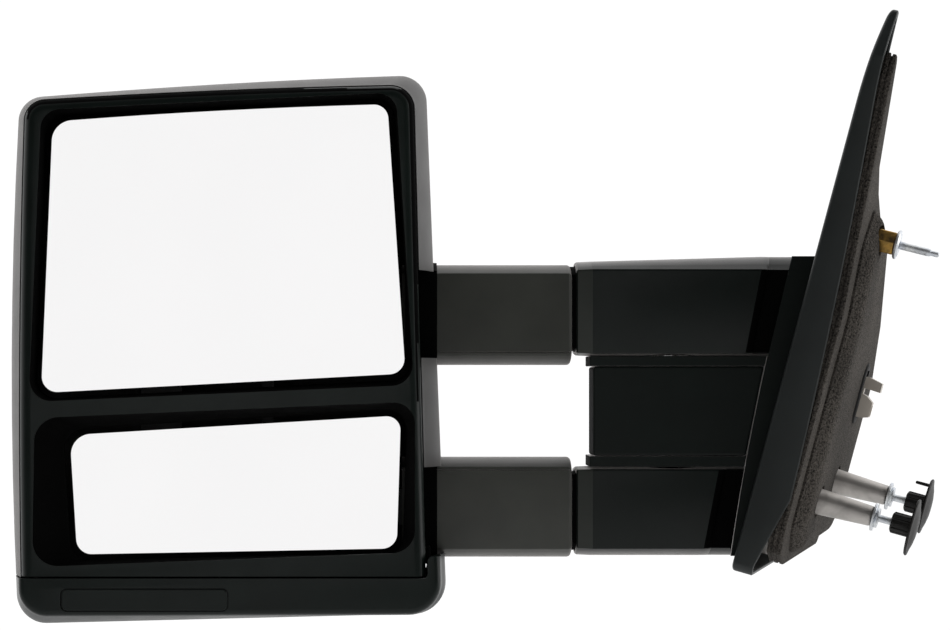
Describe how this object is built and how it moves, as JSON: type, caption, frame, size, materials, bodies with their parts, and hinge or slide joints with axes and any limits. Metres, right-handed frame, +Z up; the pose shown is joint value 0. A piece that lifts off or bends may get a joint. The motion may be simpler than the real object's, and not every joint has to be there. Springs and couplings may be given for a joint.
{
  "type": "car side mirror",
  "caption": "Telescoping towing mirror: tall head with a wide and a spotter glass, sliding on arms that fold about a pivot block on a triangular door sail.",
  "frame": {"origin": "on the flat rear rim of the base gasket, where the base sits on the door", "axes": "+X from the mirror head towards the door, +Y forward along the vehicle, +Z up; the glasses face -Y"},
  "size_m": [0.5818, 0.2289, 0.3779],
  "materials": {
    "housing_plastic": "fine-grained matte black moulding",
    "bezel_plastic": "satin black moulding",
    "sleeve_plastic": "fine-grained warm black moulding",
    "arm_plastic": "fine-grained black moulding",
    "mirror": "silvered glass",
    "inner_plastic": "plain black moulding",
    "heater_film": "printed film",
    "foam": "speckled open-cell foam",
    "cast_metal": "as cast, slightly grainy",
    "zinc": "bright zinc plate",
    "yellow_zinc": "yellow chromate zinc plate",
    "steel": "ground steel",
    "brass": "sintered bush",
    "cap_plastic": "black nylon",
    "rubber": "black moulded rubber",
    "connector_plastic": "natural nylon"
  },
  "bodies": {
    "base": {"sail_cover": "bezel_plastic", "base_bracket": "cast_metal", "base_gasket": "foam", "upper_stud_block": "yellow_zinc", "upper_stud_flange": "zinc", "upper_stud": "zinc", "lower_boss_rear": "cast_metal", "lower_washer_rear": "zinc", "lower_bolt_rear": "zinc", "bolt_cap_rear": "cap_plastic", "lower_boss_front": "cast_metal", "lower_washer_front": "zinc", "lower_bolt_front": "zinc", "bolt_cap_front": "cap_plastic", "harness_grommet": "rubber", "harness_connector": "connector_plastic", "pedestal_cover": "arm_plastic", "pivot_block": "arm_plastic", "pivot_plate_upper": "arm_plastic", "pivot_plate_lower": "arm_plastic", "pivot_shaft": "steel", "detent_ring": "steel", "fold_spring": "steel", "spring_washer": "zinc", "pivot_nut": "zinc"},
    "arms": {"upper_arm_sleeve": "sleeve_plastic", "lower_arm_sleeve": "sleeve_plastic", "upper_arm_cover": "arm_plastic", "lower_arm_cover": "arm_plastic", "upper_rail": "cast_metal", "lower_rail": "cast_metal", "upper_rail_stop": "inner_plastic", "lower_rail_stop": "inner_plastic", "upper_pivot_casting": "cast_metal", "lower_pivot_casting": "cast_metal", "upper_pivot_bush": "brass", "lower_pivot_bush": "brass", "detent_follower": "steel"},
    "head": {"rear_housing": "housing_plastic", "lower_cap": "bezel_plastic", "cap_panel": "bezel_plastic", "front_bezel": "bezel_plastic", "upper_arm_collar": "inner_plastic", "lower_arm_collar": "inner_plastic", "head_bracket": "cast_metal", "upper_rail_guide": "inner_plastic", "lower_rail_guide": "inner_plastic", "actuator_housing": "inner_plastic", "actuator_post": "inner_plastic", "lower_swivel_post": "inner_plastic"},
    "upper_tilt": {"upper_gimbal": "inner_plastic"},
    "upper_pan": {"upper_glass": "mirror", "upper_heater_pad": "heater_film", "upper_glass_holder": "inner_plastic"},
    "lower_tilt": {"lower_gimbal": "inner_plastic"},
    "lower_pan": {"lower_glass": "mirror", "lower_glass_holder": "inner_plastic"},
    "tilt_jack": {"tilt_jack": "connector_plastic"},
    "pan_jack": {"pan_jack": "connector_plastic"}
  },
  "joints": [
    {"name": "fold", "type": "hinge", "parent": "base", "child": "arms", "pos_m": [-0.09446, 0.02945, 0.01932], "axis": [0, 0, 1], "range_deg": [-20, 75]},
    {"name": "telescope", "type": "slide", "parent": "arms", "child": "head", "axis": [1, 0, 0], "range_m": [0, 0.075]},
    {"name": "upper_tilt", "type": "hinge", "parent": "head", "child": "upper_tilt", "pos_m": [-0.36946, -0.00755, 0.08082], "axis": [1, 0, 0], "range_deg": [-6, 6]},
    {"name": "upper_pan", "type": "hinge", "parent": "upper_tilt", "child": "upper_pan", "pos_m": [-0.36946, -0.00755, 0.08082], "axis": [0, 0, 1], "range_deg": [-6, 6]},
    {"name": "lower_tilt", "type": "hinge", "parent": "head", "child": "lower_tilt", "pos_m": [-0.36146, -0.00155, -0.06368], "axis": [1, 0, 0], "range_deg": [-6, 6]},
    {"name": "lower_pan", "type": "hinge", "parent": "lower_tilt", "child": "lower_pan", "pos_m": [-0.36146, -0.00155, -0.06368], "axis": [0, 0, 1], "range_deg": [-6, 6]},
    {"name": "tilt_jack_travel", "type": "slide", "parent": "head", "child": "tilt_jack", "axis": [0, 1, 0], "range_m": [-0.0032, 0.0032]},
    {"name": "pan_jack_travel", "type": "slide", "parent": "head", "child": "pan_jack", "axis": [0, 1, 0], "range_m": [-0.0032, 0.0032]}
  ],
  "couplings": [
    {"joint": "tilt_jack_travel", "follows": "upper_tilt", "m_per_rad": 0.028},
    {"joint": "pan_jack_travel", "follows": "upper_pan", "m_per_rad": 0.028}
  ]
}
